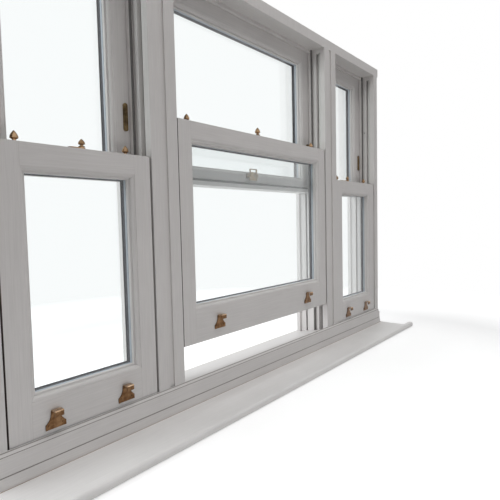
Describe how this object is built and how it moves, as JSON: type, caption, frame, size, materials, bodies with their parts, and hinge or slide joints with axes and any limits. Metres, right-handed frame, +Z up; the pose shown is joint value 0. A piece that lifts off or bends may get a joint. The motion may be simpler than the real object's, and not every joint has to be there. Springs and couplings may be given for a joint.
{
  "type": "sash window",
  "caption": "Wide painted sliding sash window with side lights, brass fittings, a sloping outer sill and a rounded inner window board.",
  "frame": {"origin": "on the flat underside of the sill, at the middle of the window's width and in the plane of the frame's room face", "axes": "+X along the window, to the right as seen from the room; +Y out of the building; +Z up"},
  "size_m": [2.154, 0.358, 1.397],
  "materials": {
    "paint": "off-white paint with a fine upright grain, satin",
    "board_paint": "white satin paint",
    "glass": "clear double glazing",
    "brass": "aged polished brass",
    "balance_steel": "zinc plated",
    "balance_plastic": "off-white extruded tube",
    "pile": "dark grey brush pile"
  },
  "bodies": {
    "frame": {"sill": "paint", "head": "paint", "jamb_left": "paint", "jamb_right": "paint", "mullion_left": "paint", "mullion_right": "paint", "inner_beads": "paint", "stop_beads": "paint", "pile_strips": "pile", "sill_trim": "paint", "window_board": "board_paint", "balance_tubes": "balance_plastic"},
    "lower_left_sash": {"lower_left_stiles": "paint", "lower_left_rails": "paint", "lower_left_glazing": "glass", "lower_left_balance": "balance_steel", "lower_left_lifts": "brass", "lower_left_top_fittings": "brass"},
    "lower_left_fastener": {"lower_left_fastener_arm": "brass"},
    "lower_left_latch_l": {"lower_left_latch_left": "brass"},
    "lower_left_latch_r": {"lower_left_latch_right": "brass"},
    "upper_left_catch": {"upper_left_restrictor_catch": "brass"},
    "upper_left_sash": {"upper_left_stiles": "paint", "upper_left_rails": "paint", "upper_left_glazing": "glass", "upper_left_balance": "balance_steel", "upper_left_brush": "pile", "upper_left_fittings": "brass"},
    "lower_centre_sash": {"lower_centre_stiles": "paint", "lower_centre_rails": "paint", "lower_centre_glazing": "glass", "lower_centre_balance": "balance_steel", "lower_centre_lifts": "brass", "lower_centre_top_fittings": "brass"},
    "lower_centre_fastener": {"lower_centre_fastener_arm": "brass"},
    "lower_centre_latch_l": {"lower_centre_latch_left": "brass"},
    "lower_centre_latch_r": {"lower_centre_latch_right": "brass"},
    "upper_centre_sash": {"upper_centre_stiles": "paint", "upper_centre_rails": "paint", "upper_centre_glazing": "glass", "upper_centre_balance": "balance_steel", "upper_centre_brush": "pile", "upper_centre_fittings": "brass", "upper_centre_restrictor_catch": "brass"},
    "lower_right_sash": {"lower_right_stiles": "paint", "lower_right_rails": "paint", "lower_right_glazing": "glass", "lower_right_balance": "balance_steel", "lower_right_lifts": "brass", "lower_right_top_fittings": "brass"},
    "lower_right_fastener": {"lower_right_fastener_arm": "brass"},
    "lower_right_latch_l": {"lower_right_latch_left": "brass"},
    "lower_right_latch_r": {"lower_right_latch_right": "brass"},
    "upper_right_catch": {"upper_right_restrictor_catch": "brass"},
    "upper_right_sash": {"upper_right_stiles": "paint", "upper_right_rails": "paint", "upper_right_glazing": "glass", "upper_right_balance": "balance_steel", "upper_right_brush": "pile", "upper_right_fittings": "brass"}
  },
  "joints": [
    {"name": "lower_left_slide", "type": "slide", "parent": "frame", "child": "lower_left_sash", "axis": [0, 0, 1], "range_m": [0, 0.53]},
    {"name": "upper_left_slide", "type": "slide", "parent": "frame", "child": "upper_left_sash", "axis": [0, 0, -1], "range_m": [0, 0.5]},
    {"name": "lower_left_fastener_turn", "type": "hinge", "parent": "lower_left_sash", "child": "lower_left_fastener", "pos_m": [-0.732, 0.041, 0.783], "axis": [0, 0, 1], "range_deg": [-90, 0]},
    {"name": "lower_left_latch_left_slide", "type": "slide", "parent": "lower_left_sash", "child": "lower_left_latch_l", "axis": [1, 0, 0], "range_m": [0, 0.014], "stiffness_N_per_m": 250, "springref_m": -0.01},
    {"name": "lower_left_latch_right_slide", "type": "slide", "parent": "lower_left_sash", "child": "lower_left_latch_r", "axis": [-1, 0, 0], "range_m": [0, 0.014], "stiffness_N_per_m": 250, "springref_m": -0.01},
    {"name": "upper_left_catch_turn", "type": "hinge", "parent": "upper_left_sash", "child": "upper_left_catch", "pos_m": [-0.567, 0.0792, 0.882], "axis": [-1, 0, 0], "range_deg": [-90, 0]},
    {"name": "lower_centre_slide", "type": "slide", "parent": "frame", "child": "lower_centre_sash", "axis": [0, 0, 1], "range_m": [-0.127, 0.403]},
    {"name": "upper_centre_slide", "type": "slide", "parent": "frame", "child": "upper_centre_sash", "axis": [0, 0, -1], "range_m": [0, 0.5]},
    {"name": "lower_centre_fastener_turn", "type": "hinge", "parent": "lower_centre_sash", "child": "lower_centre_fastener", "pos_m": [0, 0.041, 0.91], "axis": [0, 0, 1], "range_deg": [-90, 0]},
    {"name": "lower_centre_latch_left_slide", "type": "slide", "parent": "lower_centre_sash", "child": "lower_centre_latch_l", "axis": [1, 0, 0], "range_m": [0, 0.014], "stiffness_N_per_m": 250, "springref_m": -0.01},
    {"name": "lower_centre_latch_right_slide", "type": "slide", "parent": "lower_centre_sash", "child": "lower_centre_latch_r", "axis": [-1, 0, 0], "range_m": [0, 0.014], "stiffness_N_per_m": 250, "springref_m": -0.01},
    {"name": "lower_right_slide", "type": "slide", "parent": "frame", "child": "lower_right_sash", "axis": [0, 0, 1], "range_m": [0, 0.53]},
    {"name": "upper_right_slide", "type": "slide", "parent": "frame", "child": "upper_right_sash", "axis": [0, 0, -1], "range_m": [0, 0.5]},
    {"name": "lower_right_fastener_turn", "type": "hinge", "parent": "lower_right_sash", "child": "lower_right_fastener", "pos_m": [0.732, 0.041, 0.783], "axis": [0, 0, 1], "range_deg": [-90, 0]},
    {"name": "lower_right_latch_left_slide", "type": "slide", "parent": "lower_right_sash", "child": "lower_right_latch_l", "axis": [1, 0, 0], "range_m": [0, 0.014], "stiffness_N_per_m": 250, "springref_m": -0.01},
    {"name": "lower_right_latch_right_slide", "type": "slide", "parent": "lower_right_sash", "child": "lower_right_latch_r", "axis": [-1, 0, 0], "range_m": [0, 0.014], "stiffness_N_per_m": 250, "springref_m": -0.01},
    {"name": "upper_right_catch_turn", "type": "hinge", "parent": "upper_right_sash", "child": "upper_right_catch", "pos_m": [0.94, 0.0792, 0.882], "axis": [-1, 0, 0], "range_deg": [-90, 0]}
  ]
}
